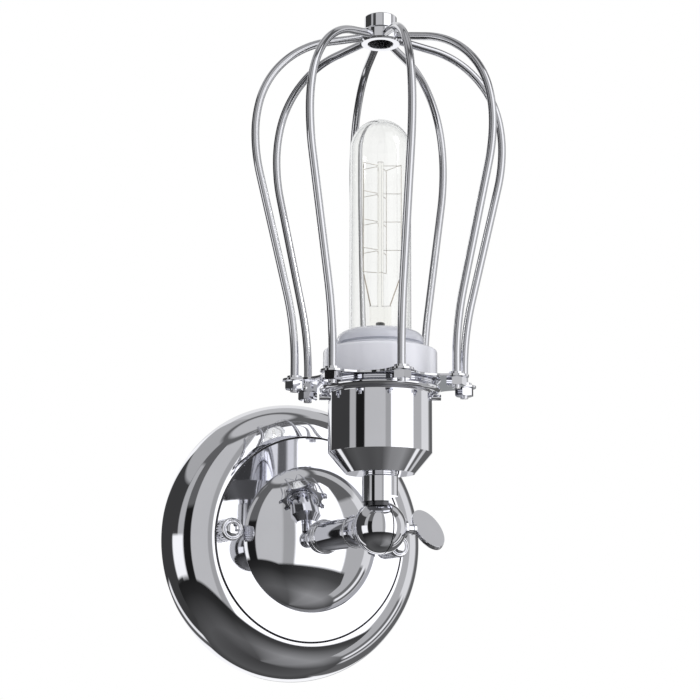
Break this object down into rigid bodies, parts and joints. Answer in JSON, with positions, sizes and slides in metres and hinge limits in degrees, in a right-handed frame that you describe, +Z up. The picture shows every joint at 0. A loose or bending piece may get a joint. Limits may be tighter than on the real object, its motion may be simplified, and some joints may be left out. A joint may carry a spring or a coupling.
{
  "type": "cage wall light",
  "caption": "Chrome wall light with a domed round plate, short arm, split-ball swivel, porcelain lamp holder, bent-wire cage and clear tubular bulb.",
  "frame": {"origin": "centre of the mounting bar's back face, in the plane of the wall", "axes": "+Y into the wall, so the light stands out along -Y; +Z up; +X to the right as seen from the room"},
  "size_m": [0.125, 0.1426, 0.2825],
  "materials": {
    "chrome": "polished",
    "zinc_steel": "zinc plated",
    "brass": "plain",
    "nickel": "nickel plated",
    "terminal_plastic": "moulded",
    "washer_fibre": "fibre",
    "porcelain": "white glaze",
    "clear_glass": "clear",
    "stem_glass": "clear",
    "black_glass": "glossy",
    "solder": "plain",
    "tungsten": "fine wire",
    "lead_metal": "plain"
  },
  "bodies": {
    "wall": {"wall_plate": "chrome", "dome_cover": "chrome", "mounting_bar": "zinc_steel", "mounting_studs": "zinc_steel", "earth_screw": "brass", "terminal_block": "terminal_plastic", "terminal_screws": "brass", "arm_collar": "chrome", "arm_tube": "chrome", "arm_pipe": "zinc_steel", "arm_washer": "zinc_steel", "arm_nut": "zinc_steel", "swivel_base": "chrome", "friction_washer": "washer_fibre", "wing_washer": "chrome"},
    "head": {"swivel_head": "chrome", "socket_cup": "chrome", "neck_washer": "chrome", "head_pipe": "zinc_steel", "cup_nut": "zinc_steel", "holder_bracket": "zinc_steel", "bracket_screws": "zinc_steel", "cup_set_screws": "chrome", "lamp_holder": "porcelain", "screw_shell": "brass", "centre_contact": "brass", "cage_ring": "chrome", "cage_nuts": "chrome", "cage_hub": "chrome", "hub_cap": "chrome", "cage_wire_1": "chrome", "cage_wire_2": "chrome", "cage_wire_3": "chrome", "cage_wire_4": "chrome", "cage_wire_5": "chrome", "cage_wire_6": "chrome", "cage_wire_7": "chrome", "cage_wire_8": "chrome"},
    "bulb": {"bulb_glass": "clear_glass", "bulb_base": "nickel", "bulb_insulator": "black_glass", "bulb_tip": "solder", "bulb_stem": "stem_glass", "filament_supports": "tungsten", "lead_wires": "lead_metal", "filament": "tungsten"},
    "wing": {"wing_screw": "chrome"},
    "thumb_nut_right": {"thumb_nut_right": "chrome"},
    "thumb_nut_left": {"thumb_nut_left": "chrome"}
  },
  "joints": [
    {"name": "head_tilt", "type": "hinge", "parent": "wall", "child": "head", "pos_m": [0, -0.08846, 0], "axis": [1, 0, 0], "range_deg": [-8, 180]},
    {"name": "wing_screw_turn", "type": "hinge", "parent": "wall", "child": "wing", "pos_m": [0.0216, -0.08846, 0], "axis": [1, 0, 0], "range_deg": [0, 360]},
    {"name": "bulb_turn", "type": "hinge", "parent": "head", "child": "bulb", "pos_m": [0, -0.08846, 0.07], "axis": [0, 0, 1], "range_deg": [0, 1260]},
    {"name": "thumb_nut_right_turn", "type": "hinge", "parent": "wall", "child": "thumb_nut_right", "pos_m": [0.04044, -0.0213, -0.00219], "axis": [0, -1, 0], "range_deg": [0, 720]},
    {"name": "thumb_nut_left_turn", "type": "hinge", "parent": "wall", "child": "thumb_nut_left", "pos_m": [-0.04044, -0.0213, 0.00219], "axis": [0, -1, 0], "range_deg": [0, 720]}
  ]
}
